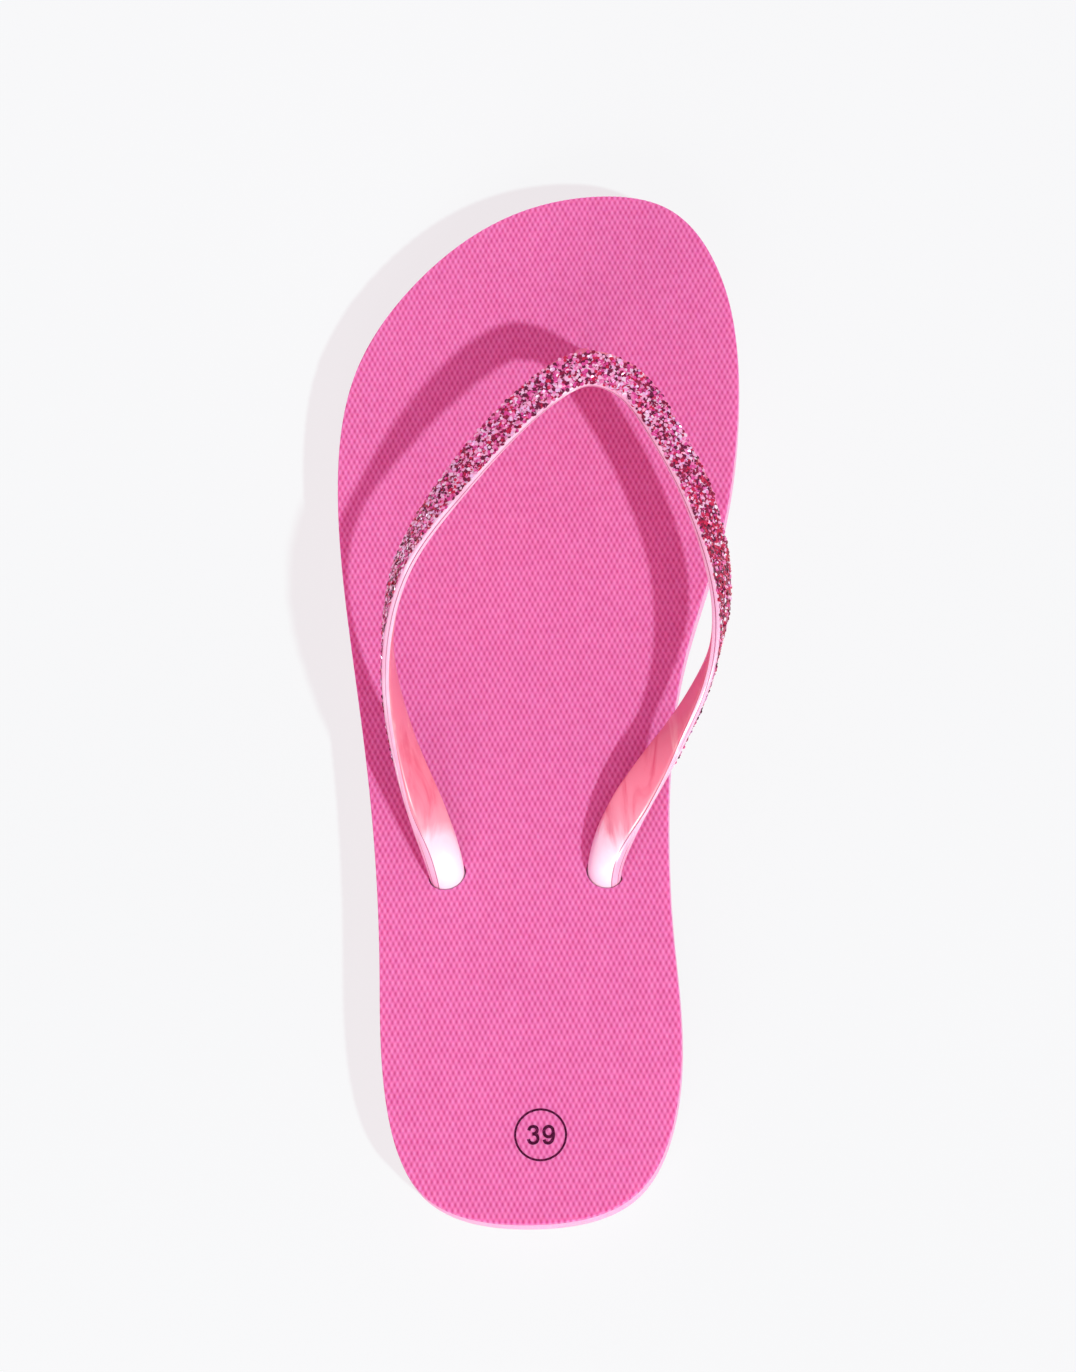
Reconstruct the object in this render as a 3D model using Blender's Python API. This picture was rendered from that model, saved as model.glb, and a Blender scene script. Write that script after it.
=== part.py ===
"""Left thong flip flop: a two-layer foam sole, a moulded Y strap with its glitter inlay,
and the three plugs that hold the strap's legs under the sole.

Metres, +Z up. The toes point towards -Y and the big-toe side is -X. The sole stands on
z = 0, and the origin is the middle of its box. Lists of design points are in millimetres.
"""
import math

import bpy
import bmesh
import numpy as np

MM = 0.001

# ---- driving dimensions, in millimetres -------------------------------------------------
SOLE_LENGTH = 260.0          # size 39: 39 Paris points of 6.667 mm
SOLE_THICKNESS = 15.0
FOOTBED_THICKNESS = 2.0      # the embossed top sheet
FIT_GAP = 0.3                # between neighbouring pieces
STRAP_WIDTH = 8.5
STRAP_THICKNESS = 2.1
CROWN = 0.28                 # how far the strap's inner face bulges in the middle
RIM_WIDTH = 0.85             # plain border on each side of the inlay
INLAY_THICKNESS = 0.5
POST_RADIUS = 2.7            # the toe post, between the toes
PLUG_RADIUS = 6.5
PLUG_BOTTOM = 0.9            # how far the plugs are let in from the ground
PLUG_TOP = 4.2
LEG_END = 2.9                # height of the legs' lower ends
SOCKET_FLOOR = LEG_END - FIT_GAP

# The sole's widest outline, toe first, then down the little-toe side to the heel.
OUTLINE = [(-14.5, -130), (8.5, -124.7), (32.3, -106.3), (45.9, -84.4), (50.2, -54),
           (47.1, -18), (41.6, 22), (38.3, 68), (36.5, 100), (27.2, 122.9), (2, 130),
           (-23.4, 122.7), (-33.3, 99.6), (-32.3, 60), (-31.6, 28), (-35.5, -6),
           (-45.2, -39), (-50.0, -75), (-45.5, -109), (-33.2, -126)]
OUTLINE_STEPS = 5            # points from one outline point to the next

# The strap's route from the outer leg over the toe joint to the inner leg. Each station
# has a place (z above the footbed), the way its outer face looks, and its width.
FULL = STRAP_WIDTH
STATIONS = [
    ((22.0, 46.6, -12.1), (0.25, -0.95, 0.00), 7.6),
    ((22.0, 46.6, -5.0), (0.25, -0.95, 0.00), 8.2),
    ((22.0, 45.2, 0.6), (0.30, -0.80, -0.45), 8.7),
    ((24.2, 37.7, 4.8), (0.45, -0.50, -0.75), 9.6),
    ((29.4, 23.0, 10.5), (0.73, -0.26, -0.58), 9.2),
    ((33.7, 6.5, 16.0), (0.94, -0.12, -0.28), FULL),
    ((34.6, -9.0, 20.2), (0.97, -0.15, 0.15), FULL),
    ((30.9, -25.1, 23.2), (0.78, -0.30, 0.55), FULL),
    ((20.6, -41.8, 25.0), (0.46, -0.26, 0.85), FULL),
    ((8.3, -57.1, 25.6), (0.22, -0.10, 0.97), FULL),
    ((-3.4, -68.3, 25.6), (0.08, 0.00, 0.99), 8.6),
    ((-13.8, -73.4, 25.5), (0.00, 0.02, 0.99), 8.8),
    ((-23.2, -69.8, 25.2), (-0.14, -0.04, 0.98), 8.6),
    ((-31.3, -58.9, 24.3), (-0.34, -0.12, 0.92), FULL),
    ((-38.4, -45.0, 22.6), (-0.50, -0.07, 0.86), FULL),
    ((-43.3, -29.8, 20.0), (-0.74, -0.03, 0.66), FULL),
    ((-44.8, -14.5, 17.0), (-0.95, -0.03, 0.29), FULL),
    ((-41.2, 0.5, 14.0), (-0.95, -0.20, -0.18), FULL),
    ((-33.6, 14.2, 10.4), (-0.83, -0.36, -0.38), FULL),
    ((-25.2, 26.4, 7.0), (-0.54, -0.52, -0.72), 9.1),
    ((-18.4, 38.3, 3.6), (-0.40, -0.65, -0.65), 9.4),
    ((-16.1, 45.3, 0.5), (-0.35, -0.80, -0.40), 8.5),
    ((-16.0, 46.8, -5.0), (-0.30, -0.95, 0.00), 8.2),
    ((-16.0, 46.8, -12.1), (-0.30, -0.95, 0.00), 7.6),
]
STRAP_SECTIONS = 120
LEG_STATIONS = {"rear_outer": STATIONS[0], "rear_inner": STATIONS[-1]}
LEGS = ("toe", "rear_outer", "rear_inner")
HOLE_SPARE = 0.45            # room round the legs in the sole
INLAY_ENDS = (0.135, 0.865)  # where the inlay starts and stops, along the strap
INLAY_FADE = 0.02            # length over which the channel for it runs out
LEG_OVAL = (0.008, 0.026, 0.048, 0.105)  # from each end: where the oval begins, is full, thins, ends
OVAL_INNER = 3.23            # the legs' oval section, from its middle to its inner face
OVAL_OUTER = 1.2
EDGE_ROUND = 0.35            # rounding of the inner face towards its edges

# The toe post leans back as it rises from its hole to the strap's underside.
TOE_HOLE = (-11.5, -84.5)
POST_ROUTE = [((-11.5, -84.5, -12.1), 1.0), ((-11.5, -84.5, -4.0), 1.0),
              ((-11.6, -83.8, 4.0), 1.0), ((-12.1, -81.0, 12.0), 1.0),
              ((-12.9, -76.8, 19.0), 1.1), ((-13.6, -73.4, 24.0), 1.35)]

# Tread: zigzag grooves under the ball and the heel, with a plain shank between them.
GROOVE_WIDTH = 2.0
GROOVE_DEPTH = 1.2
GROOVE_PITCH = 7.0
ZIGZAG_STEP = 6.0
ZIGZAG_RISE = 1.6
TREAD_MARGIN = 8.0
BALL_TREAD = (-113.0, -15.0)
HEEL_TREAD = (64.0, 117.0)


# ---- curves -------------------------------------------------------------------------------
def spline(points, closed):
    """The cubic spline through some points: returns a function of (span, fraction)."""
    p = np.array(points, float)
    if closed:
        p = np.vstack([p, p[:1]])
    gaps = np.linalg.norm(np.diff(p[:, :3], axis=0), axis=1)
    count = len(p)
    system, right = np.eye(count), np.zeros_like(p)
    for i in range(1, count - 1):
        system[i, i - 1:i + 2] = gaps[i - 1], 2 * (gaps[i - 1] + gaps[i]), gaps[i]
        right[i] = 6 * ((p[i + 1] - p[i]) / gaps[i] - (p[i] - p[i - 1]) / gaps[i - 1])
    if closed:
        system[0, -1] = -1
        system[-1, :2] = 2 * gaps[0], gaps[0]
        system[-1, -2:] = gaps[-1], 2 * gaps[-1]
        right[-1] = 6 * ((p[1] - p[0]) / gaps[0] - (p[-1] - p[-2]) / gaps[-1])
    bend = np.linalg.solve(system, right)

    def at(i, b):
        a = 1 - b
        return (a * p[i] + b * p[i + 1] + ((a ** 3 - a) * bend[i]
                + (b ** 3 - b) * bend[i + 1]) * gaps[i] ** 2 / 6)
    return at


def evenly(points, count):
    """Points along an open spline, the same distance apart."""
    at = spline(points, closed=False)
    fine = np.array([at(i, b) for i in range(len(points) - 1)
                     for b in np.linspace(0, 1, 24, endpoint=False)] + [at(len(points) - 2, 1)])
    run = np.concatenate([[0], np.cumsum(np.linalg.norm(np.diff(fine[:, :3], axis=0), axis=1))])
    wanted = np.linspace(0, run[-1], count)
    return np.stack([np.interp(wanted, run, fine[:, k]) for k in range(fine.shape[1])], axis=1)


def outline(inset):
    """The sole's outline, moved inwards by an inset."""
    at = spline(OUTLINE, closed=True)
    loop = np.array([at(i, b) for i in range(len(OUTLINE))
                     for b in np.linspace(0, 1, OUTLINE_STEPS, endpoint=False)])
    low, high = loop.min(axis=0), loop.max(axis=0)
    loop = (loop - (low + high) / 2) * SOLE_LENGTH / (high[1] - low[1])
    along = np.roll(loop, -1, axis=0) - np.roll(loop, 1, axis=0)
    along /= np.linalg.norm(along, axis=1)[:, None]
    inwards = np.stack([-along[:, 1], along[:, 0]], axis=1)
    return loop + inwards * inset


def outline_ring(inset, z):
    return [(x, y, z) for x, y in outline(inset)]


# ---- solids -------------------------------------------------------------------------------
def material(name, colour, roughness, metallic=0.0):
    made = bpy.data.materials.new(name)
    made.use_nodes = True
    shader = made.node_tree.nodes["Principled BSDF"]
    shader.inputs["Base Color"].default_value = (*colour, 1.0)
    shader.inputs["Roughness"].default_value = roughness
    shader.inputs["Metallic"].default_value = metallic
    return made


def loft(name, bodies, collection):
    """Closed bodies, each through its own rings of points in millimetres, with flat ends."""
    mesh = bpy.data.meshes.new(name)
    bm = bmesh.new()
    for rings in bodies:
        loops = [[bm.verts.new([c * MM for c in point]) for point in ring] for ring in rings]
        bm.faces.new(loops[0])
        bm.faces.new(loops[-1])
        for lower, upper in zip(loops, loops[1:]):
            for k in range(len(lower)):
                n = (k + 1) % len(lower)
                bm.faces.new((lower[k], lower[n], upper[n], upper[k]))
    bmesh.ops.recalc_face_normals(bm, faces=bm.faces)
    bm.to_mesh(mesh)
    bm.free()
    mesh.shade_smooth()
    mesh.set_sharp_from_angle(angle=math.radians(35))
    made = bpy.data.objects.new(name, mesh)
    collection.objects.link(made)
    return made


def cutter(name, bodies, cutters):
    made = loft(name, bodies, cutters)
    made.hide_render = True
    made.display_type = "WIRE"
    return made


def boolean(target, other, operation):
    change = target.modifiers.new(other.name, "BOOLEAN")
    change.operation = operation
    change.solver = "EXACT"
    change.object = other
    return change


def oblong(centre, along, length, width, z, steps=8):
    """A ring with two straight sides and round ends, its length in the given direction."""
    angle = math.atan2(along[1], along[0])
    straight = (length - width) / 2
    ring = []
    for side in (0, 1):
        for k in range(steps + 1):
            turn = side * math.pi - math.pi / 2 + math.pi * k / steps
            u = straight * (1 - 2 * side) + width / 2 * math.cos(turn)
            v = width / 2 * math.sin(turn)
            ring.append((centre[0] + u * math.cos(angle) - v * math.sin(angle),
                         centre[1] + u * math.sin(angle) + v * math.cos(angle), z))
    return ring


def circle(centre, radius, z, steps=24):
    return [(centre[0] + radius * math.cos(2 * math.pi * k / steps),
             centre[1] + radius * math.sin(2 * math.pi * k / steps), z) for k in range(steps)]


# ---- sole -----------------------------------------------------------------------------------
def leg_centre(leg):
    if leg == "toe":
        return TOE_HOLE
    return LEG_STATIONS[leg][0][:2]


def leg_hole(leg):
    """The way through the sole for the toe post, or for a leg as it bends down."""
    if leg == "toe":
        return [circle(TOE_HOLE, POST_RADIUS + HOLE_SPARE, z) for z in (2.0, SOLE_THICKNESS + 1)]
    frames = strap_frames(STRAP_SECTIONS)
    side = 1 if leg == "rear_outer" else -1
    low = [k for k, centre in enumerate(frames[0])
           if centre[2] < SOLE_THICKNESS + 4 and centre[0] * side > 0]
    part = [column[low[0]:low[-1] + 1] for column in frames]
    return swept_rings(part, hole_section)


def socket(leg):
    """The pocket in a plug for the end of the toe post or of a leg."""
    levels = (SOCKET_FLOOR, PLUG_TOP + 1.0)
    if leg == "toe":
        return [circle(TOE_HOLE, POST_RADIUS + FIT_GAP, z) for z in levels]
    centre, outer, width = LEG_STATIONS[leg]
    return [oblong(centre, (-outer[1], outer[0]), width + 3 * FIT_GAP,
                   STRAP_THICKNESS + 2 * (CROWN + FIT_GAP), z) for z in levels]


def plug_seat(leg):
    """The counterbore in the sole's underside for one plug."""
    return [circle(leg_centre(leg), PLUG_RADIUS + 0.5, z, 32) for z in (-1.0, PLUG_TOP + FIT_GAP)]


def make_footbed(parts, holes):
    top, bottom = SOLE_THICKNESS, SOLE_THICKNESS - FOOTBED_THICKNESS
    sheet = loft("footbed", [[outline_ring(0.3, bottom), outline_ring(0.3, top - 0.5),
                              outline_ring(0.55, top)]], parts)
    boolean(sheet, holes, "DIFFERENCE")
    return sheet


def make_sole_base(parts, holes, cutters):
    top = SOLE_THICKNESS - FOOTBED_THICKNESS - FIT_GAP
    wall = [(2.3, 0.0), (1.1, 0.9), (0.45, 3.6), (0.0, 9.0), (0.14, 11.8), (0.36, top)]
    base = loft("sole_base", [[outline_ring(inset, z) for inset, z in wall]], parts)
    boolean(base, cutter("tread_grooves", tread_grooves(), cutters), "DIFFERENCE")
    boolean(base, cutter("plug_seats", [plug_seat(leg) for leg in LEGS], cutters), "DIFFERENCE")
    boolean(base, holes, "DIFFERENCE")
    return base


def tread_runs(y):
    """Where a groove may run at one place along the sole: inside the edge, past a plug."""
    loop = outline(TREAD_MARGIN)
    crossings = []
    for (x0, y0), (x1, y1) in zip(loop, np.roll(loop, -1, axis=0)):
        if (y0 - y) * (y1 - y) < 0:
            crossings.append(x0 + (x1 - x0) * (y - y0) / (y1 - y0))
    left, right = min(crossings), max(crossings)
    keep_off = PLUG_RADIUS + 3.5
    if abs(y - TOE_HOLE[1]) < keep_off:
        return [(left, TOE_HOLE[0] - keep_off), (TOE_HOLE[0] + keep_off, right)]
    return [(left, right)]


def tread_grooves():
    grooves = []
    for first, last in (BALL_TREAD, HEEL_TREAD):
        for row in range(int((last - first) / GROOVE_PITCH) + 1):
            y = first + row * GROOVE_PITCH
            for left, right in tread_runs(y):
                teeth = max(2, round((right - left) / ZIGZAG_STEP))
                line = [(left + (right - left) * k / teeth, y + ZIGZAG_RISE * (-1) ** k / 2)
                        for k in range(teeth + 1)]
                edge = [(x, v - GROOVE_WIDTH / 2) for x, v in line]
                edge += [(x, v + GROOVE_WIDTH / 2) for x, v in reversed(line)]
                grooves.append([[(x, v, z) for x, v in edge] for z in (-1.0, GROOVE_DEPTH)])
    return grooves


# ---- strap ----------------------------------------------------------------------------------
def strap_frames(count):
    """Places along the strap: centre, the ways across and outwards, width, and how far on."""
    rows = evenly([(*place, *outer, width) for place, outer, width in STATIONS], count)
    centres = rows[:, :3] + np.array([0, 0, SOLE_THICKNESS])
    along = np.gradient(centres, axis=0)
    along /= np.linalg.norm(along, axis=1)[:, None]
    outwards = rows[:, 3:6] - (rows[:, 3:6] * along).sum(axis=1)[:, None] * along
    outwards /= np.linalg.norm(outwards, axis=1)[:, None]
    across = np.cross(along, outwards)
    return centres, across, outwards, rows[:, 6], np.linspace(0, 1, count)


def channel_depth(share):
    """The channel for the inlay is full depth between its ends and runs out past them."""
    start, stop = INLAY_ENDS
    inside = min(share - start, stop - share) / INLAY_FADE + 1
    return (INLAY_THICKNESS + FIT_GAP) * min(max(inside, 0.0), 1.0)


def eased(part):
    part = min(max(part, 0.0), 1.0)
    return part * part * (3 - 2 * part)


def leg_share(share):
    """How far the section has filled out to the oval one of the rear legs, 0 to 1."""
    end = min(share, 1 - share)
    begins, full, thins, ends = LEG_OVAL
    return eased((end - begins) / (full - begins)) * (1 - eased((end - thins) / (ends - thins)))


def filled_out(flat, turns, half, share):
    """A half section moved towards the legs' oval. Each point has its own turn on the oval,
    in degrees from straight out sideways."""
    oval, points = leg_share(share), []
    for (u, v), turn in zip(flat, turns):
        angle = math.radians(turn)
        depth = OVAL_INNER if turn < 0 else OVAL_OUTER
        points.append((u + (half * math.cos(angle) - u) * oval,
                       v + (depth * math.sin(angle) - v) * oval))
    return points


def crowned(part):
    """Depth of the strap's inner face at a part of its half width."""
    return -STRAP_THICKNESS / 2 + EDGE_ROUND - (EDGE_ROUND + CROWN) * math.sqrt(1 - part ** 2)


def strap_section(width, share):
    """Half the strap's section, from the middle of the inner face round to the outer one."""
    half, thick, depth = width / 2, STRAP_THICKNESS / 2, channel_depth(share)
    lip = half - RIM_WIDTH
    flat = [(half * part, crowned(part)) for part in (0.0, 0.45, 0.8, 0.955)]
    flat += [(half, -0.12), (half - 0.04, thick - 0.5), (half - 0.36, thick - 0.05),
             (half - 0.55, thick), (lip, thick), (lip - 0.05, thick - depth),
             (0.0, thick - depth + 0.05)]
    return filled_out(flat, (-90, -63, -37, -17, -2, 16, 40, 50, 58, 64, 90), half, share)


def inlay_section(width, share):
    """Half the glitter inlay's section. It stands slightly proud of the strap's rim."""
    edge = width / 2 - RIM_WIDTH - FIT_GAP - 0.05
    floor = STRAP_THICKNESS / 2 - INLAY_THICKNESS + 0.1
    top = STRAP_THICKNESS / 2 + 0.1
    return [(0.0, floor), (edge, floor), (edge, top - 0.1), (edge - 0.4, top + 0.1),
            (edge / 2, top + 0.25), (0.0, top + 0.3)]


def hole_section(width, share):
    """Half the section of the hole that a leg bends down through: the leg's own, spread."""
    half = width / 2
    face = STRAP_THICKNESS / 2
    flat = [(half * part, crowned(part)) for part in (0.0, 0.45, 0.8, 0.955)]
    flat += [(half, 0.0), (half, face - 0.3), (half - 0.3, face), (0.0, face)]
    leg = filled_out(flat, (-90, -63, -37, -17, 0, 30, 55, 90), half, share)
    inner, outer = -leg[0][1], leg[-1][1]
    return [(u * (1 + HOLE_SPARE / half),
             v * (1 + HOLE_SPARE / (inner if v < 0 else outer))) for u, v in leg]


def whole_section(half):
    """A section from its half: the other side is the mirror image, without the ends twice."""
    return half + [(-u, v) for u, v in reversed(half[1:-1])]


def swept_rings(frames, section_at):
    rings = []
    for centre, across, outwards, width, share in zip(*frames):
        rings.append([centre + across * u + outwards * v
                      for u, v in whole_section(section_at(width, share))])
    return rings


def make_toe_post(cutters):
    """The post between the toes: a tube along its route that flares into the strap."""
    route = bpy.data.curves.new("toe_post_route", "CURVE")
    route.dimensions = "3D"
    route.bevel_depth = POST_RADIUS * MM
    route.bevel_resolution = 4
    route.use_fill_caps = True
    points = evenly([(x, y, z + SOLE_THICKNESS, r) for (x, y, z), r in POST_ROUTE], 18)
    line = route.splines.new("POLY")
    line.points.add(len(points) - 1)
    for point, (x, y, z, radius) in zip(line.points, points):
        point.co = (x * MM, y * MM, z * MM, 1.0)
        point.radius = radius
    tube = bpy.data.objects.new("toe_post_tube", route)
    cutters.objects.link(tube)
    solid = bpy.data.meshes.new_from_object(tube.evaluated_get(bpy.context.evaluated_depsgraph_get()))
    bm = bmesh.new()
    bm.from_mesh(solid)
    bmesh.ops.remove_doubles(bm, verts=bm.verts, dist=0.00001)
    bmesh.ops.recalc_face_normals(bm, faces=bm.faces)
    bm.to_mesh(solid)
    bm.free()
    post = bpy.data.objects.new("toe_post", solid)
    post.matrix_world = tube.matrix_world
    bpy.data.objects.remove(tube)
    cutters.objects.link(post)
    post.hide_render = True
    post.display_type = "WIRE"
    return post


def make_strap(parts, cutters):
    frames = strap_frames(STRAP_SECTIONS)
    strap = loft("strap", [swept_rings(frames, strap_section)], parts)
    boolean(strap, make_toe_post(cutters), "UNION")
    return strap


def make_glitter_inlay(parts):
    frames = strap_frames(STRAP_SECTIONS)
    start, stop = INLAY_ENDS
    inside = [k for k, share in enumerate(frames[4]) if start <= share <= stop]
    part = [column[inside[0]:inside[-1] + 1] for column in frames]
    return loft("glitter_inlay", [swept_rings(part, inlay_section)], parts)


def make_plug(leg, parts, cutters):
    """A disc under the sole with a socket that the leg's lower end is set in."""
    centre = leg_centre(leg)
    profile = [(PLUG_RADIUS - 0.8, PLUG_BOTTOM), (PLUG_RADIUS, PLUG_BOTTOM + 0.8),
               (PLUG_RADIUS, PLUG_TOP - 0.4), (PLUG_RADIUS - 0.4, PLUG_TOP)]
    plug = loft(leg + "_plug", [[circle(centre, radius, z) for radius, z in profile]], parts)
    boolean(plug, cutter(leg + "_socket", [socket(leg)], cutters), "DIFFERENCE")
    return plug


# ---- assembly ---------------------------------------------------------------------------------
def new_collection(name):
    made = bpy.data.collections.new(name)
    bpy.context.scene.collection.children.link(made)
    return made


def main():
    for old in list(bpy.data.objects):
        bpy.data.objects.remove(old)
    parts = new_collection("flip_flop")
    cutters = new_collection("cutters")
    holes = cutter("leg_holes", [leg_hole(leg) for leg in LEGS], cutters)

    hot_pink = material("hot_pink_foam", (0.86, 0.14, 0.40), 0.72)
    pale_pink = material("pale_pink_foam", (0.93, 0.50, 0.72), 0.70)
    pearl = material("pearl_pvc", (0.92, 0.38, 0.46), 0.28)
    glitter = material("glitter", (0.55, 0.08, 0.22), 0.35, 0.6)

    make_footbed(parts, holes).data.materials.append(hot_pink)
    make_sole_base(parts, holes, cutters).data.materials.append(pale_pink)
    make_strap(parts, cutters).data.materials.append(pearl)
    make_glitter_inlay(parts).data.materials.append(glitter)
    for leg in LEGS:
        make_plug(leg, parts, cutters).data.materials.append(pearl)


main()
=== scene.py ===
"""The looks of a left thong flip flop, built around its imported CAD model.

Every object is in metres in the CAD frame: the toes point towards -Y, the big-toe side is -X
and the sole stands on z = 0. Design points and sizes are in millimetres.
"""
import math

import bmesh
import bpy
import numpy as np
from mathutils import Matrix, Vector
from mathutils.bvhtree import BVHTree
from mathutils.geometry import delaunay_2d_cdt


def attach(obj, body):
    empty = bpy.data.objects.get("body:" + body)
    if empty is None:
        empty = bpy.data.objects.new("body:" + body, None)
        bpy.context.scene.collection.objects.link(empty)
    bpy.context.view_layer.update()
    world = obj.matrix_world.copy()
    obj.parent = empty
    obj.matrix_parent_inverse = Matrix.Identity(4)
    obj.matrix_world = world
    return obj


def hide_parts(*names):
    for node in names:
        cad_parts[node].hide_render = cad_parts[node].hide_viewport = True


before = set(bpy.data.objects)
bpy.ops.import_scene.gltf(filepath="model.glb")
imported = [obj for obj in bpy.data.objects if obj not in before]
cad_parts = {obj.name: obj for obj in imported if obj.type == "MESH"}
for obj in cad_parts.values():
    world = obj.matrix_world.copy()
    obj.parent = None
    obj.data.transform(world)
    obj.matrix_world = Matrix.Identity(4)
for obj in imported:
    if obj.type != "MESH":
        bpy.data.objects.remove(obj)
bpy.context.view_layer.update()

MM = 0.001
BODY = "root"
rng = np.random.default_rng(39)

# ---- sizes, in millimetres --------------------------------------------------------------------
SOLE_LENGTH = 260.0
TOP = 15.0                   # the footbed's crests
FOOTBED_BOTTOM = 13.0
FOOTBED_INSET = 0.18         # from the sole's widest outline
BASE_TOP = 12.7
HALF_THICK = 1.05            # half of the strap's thickness
RIM = 0.85                   # plain border on each side of the glitter
CHANNEL = 0.8                # depth of the channel that the glitter lies in
CROWN = 0.28                 # how far the strap's inner face bulges
POST_RADIUS = 2.7
HOLE_SPARE = 0.35
PLUG_SEAT_RADIUS = 7.0
PLUG_SEAT_TOP = 4.5

PITCH_ACROSS = 1.39          # the embossed grip pattern
PITCH_ALONG = 2.72           # two staggered rows
EMBOSS_DEPTH = 0.36
EMBOSS_SAMPLES = 4           # mesh points in one pitch
EMBOSS_SHARPNESS = 1.2       # above 1, the crests are broader than the pits

OUTLINE = [(-14.5, -130), (8.5, -124.7), (32.3, -106.3), (45.9, -84.4), (50.2, -54),
           (47.1, -18), (41.6, 22), (38.3, 68), (36.5, 100), (27.2, 122.9), (2, 130),
           (-23.4, 122.7), (-33.3, 99.6), (-32.3, 60), (-31.6, 28), (-35.5, -6),
           (-45.2, -39), (-50.0, -75), (-45.5, -109), (-33.2, -126)]

# The strap's route from the outer leg over the toe joint to the inner leg. Each station has
# a place (z above the footbed), the way its outer face looks, and its width.
FULL = 8.5
STATIONS = [
    ((22.0, 46.6, -12.1), (0.25, -0.95, 0.00), 7.6),
    ((22.0, 46.6, -5.0), (0.25, -0.95, 0.00), 8.2),
    ((22.0, 45.2, 0.6), (0.30, -0.80, -0.45), 8.7),
    ((24.2, 37.7, 4.8), (0.45, -0.50, -0.75), 9.6),
    ((29.4, 23.0, 10.5), (0.73, -0.26, -0.58), 9.2),
    ((33.7, 6.5, 16.0), (0.94, -0.12, -0.28), FULL),
    ((34.6, -9.0, 20.2), (0.97, -0.15, 0.15), FULL),
    ((30.9, -25.1, 23.2), (0.78, -0.30, 0.55), FULL),
    ((20.6, -41.8, 25.0), (0.46, -0.26, 0.85), FULL),
    ((8.3, -57.1, 25.6), (0.22, -0.10, 0.97), FULL),
    ((-3.4, -68.3, 25.6), (0.08, 0.00, 0.99), 8.6),
    ((-13.8, -73.4, 25.5), (0.00, 0.02, 0.99), 8.8),
    ((-23.2, -69.8, 25.2), (-0.14, -0.04, 0.98), 8.6),
    ((-31.3, -58.9, 24.3), (-0.34, -0.12, 0.92), FULL),
    ((-38.4, -45.0, 22.6), (-0.50, -0.07, 0.86), FULL),
    ((-43.3, -29.8, 20.0), (-0.74, -0.03, 0.66), FULL),
    ((-44.8, -14.5, 17.0), (-0.95, -0.03, 0.29), FULL),
    ((-41.2, 0.5, 14.0), (-0.95, -0.20, -0.18), FULL),
    ((-33.6, 14.2, 10.4), (-0.83, -0.36, -0.38), FULL),
    ((-25.2, 26.4, 7.0), (-0.54, -0.52, -0.72), 9.1),
    ((-18.4, 38.3, 3.6), (-0.40, -0.65, -0.65), 9.4),
    ((-16.1, 45.3, 0.5), (-0.35, -0.80, -0.40), 8.5),
    ((-16.0, 46.8, -5.0), (-0.30, -0.95, 0.00), 8.2),
    ((-16.0, 46.8, -12.1), (-0.30, -0.95, 0.00), 7.6),
]
SECTIONS = 460
# Shares of the strap's length, from 0 at the outer leg's end to 1 at the inner leg's.
INLAY_ENDS = (0.135, 0.865)
INLAY_FADE = 0.02            # over which the channel runs out
LEG_OVAL = (0.008, 0.026, 0.048, 0.105)  # from each end: the oval begins, is full, thins, ends
TOE_HOLE = (-11.5, -84.5)
POST_ROUTE = [((-11.5, -84.5, -12.1), 1.0), ((-11.5, -84.5, -4.0), 1.0),
              ((-11.6, -83.8, 4.0), 1.0), ((-12.1, -81.0, 12.0), 1.0),
              ((-12.9, -76.8, 19.0), 1.1), ((-13.6, -73.4, 24.0), 1.35)]
POST_STEPS = 40              # rings along the post, and points round each
PLUG_CENTRES = {"toe": TOE_HOLE, "rear_outer": (22.0, 46.6), "rear_inner": (-16.0, 46.8)}

# Tread: zigzag grooves under the ball and the heel, with a plain shank between them.
GROOVE_HALF = 1.0
GROOVE_DEPTH = 1.2
GROOVE_PITCH = 7.0
ZIGZAG_STEP = 6.0
ZIGZAG_RISE = 1.6
TREAD_MARGIN = 8.0
PLUG_MARGIN = 10.0           # from a plug's middle to the nearest groove
BALL_TREAD = (-113.0, -15.0)
HEEL_TREAD = (64.0, 117.0)

MARK_CENTRE = (-0.6, 108.8)  # the printed size mark
MARK_RADIUS = 6.0
MARK_LINE = 0.5
FILM_LIFT = 0.03             # of the ink's underside over the foam
FILM_THICKNESS = 0.04
FILM_EDGE = 0.36             # longest edge in the film's mesh

OUTLINE_STEPS = 46           # points to each span of the footbed's outline
HOLE_STEPS = 48              # points round a leg's hole
SMOOTH_ANGLE = 35            # degrees; a fold sharper than this has a sharp edge


# ---- curves -----------------------------------------------------------------------------------
def spline(points, closed):
    """The cubic spline through some points: returns a function of (span, fraction)."""
    p = np.array(points, float)
    if closed:
        p = np.vstack([p, p[:1]])
    gaps = np.linalg.norm(np.diff(p[:, :3], axis=0), axis=1)
    count = len(p)
    system, right = np.eye(count), np.zeros_like(p)
    for i in range(1, count - 1):
        system[i, i - 1:i + 2] = gaps[i - 1], 2 * (gaps[i - 1] + gaps[i]), gaps[i]
        right[i] = 6 * ((p[i + 1] - p[i]) / gaps[i] - (p[i] - p[i - 1]) / gaps[i - 1])
    if closed:
        system[0, -1] = -1
        system[-1, :2] = 2 * gaps[0], gaps[0]
        system[-1, -2:] = gaps[-1], 2 * gaps[-1]
        right[-1] = 6 * ((p[1] - p[0]) / gaps[0] - (p[-1] - p[-2]) / gaps[-1])
    bend = np.linalg.solve(system, right)

    def at(i, b):
        a = 1 - b
        return (a * p[i] + b * p[i + 1] + ((a ** 3 - a) * bend[i]
                + (b ** 3 - b) * bend[i + 1]) * gaps[i] ** 2 / 6)
    return at


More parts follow.
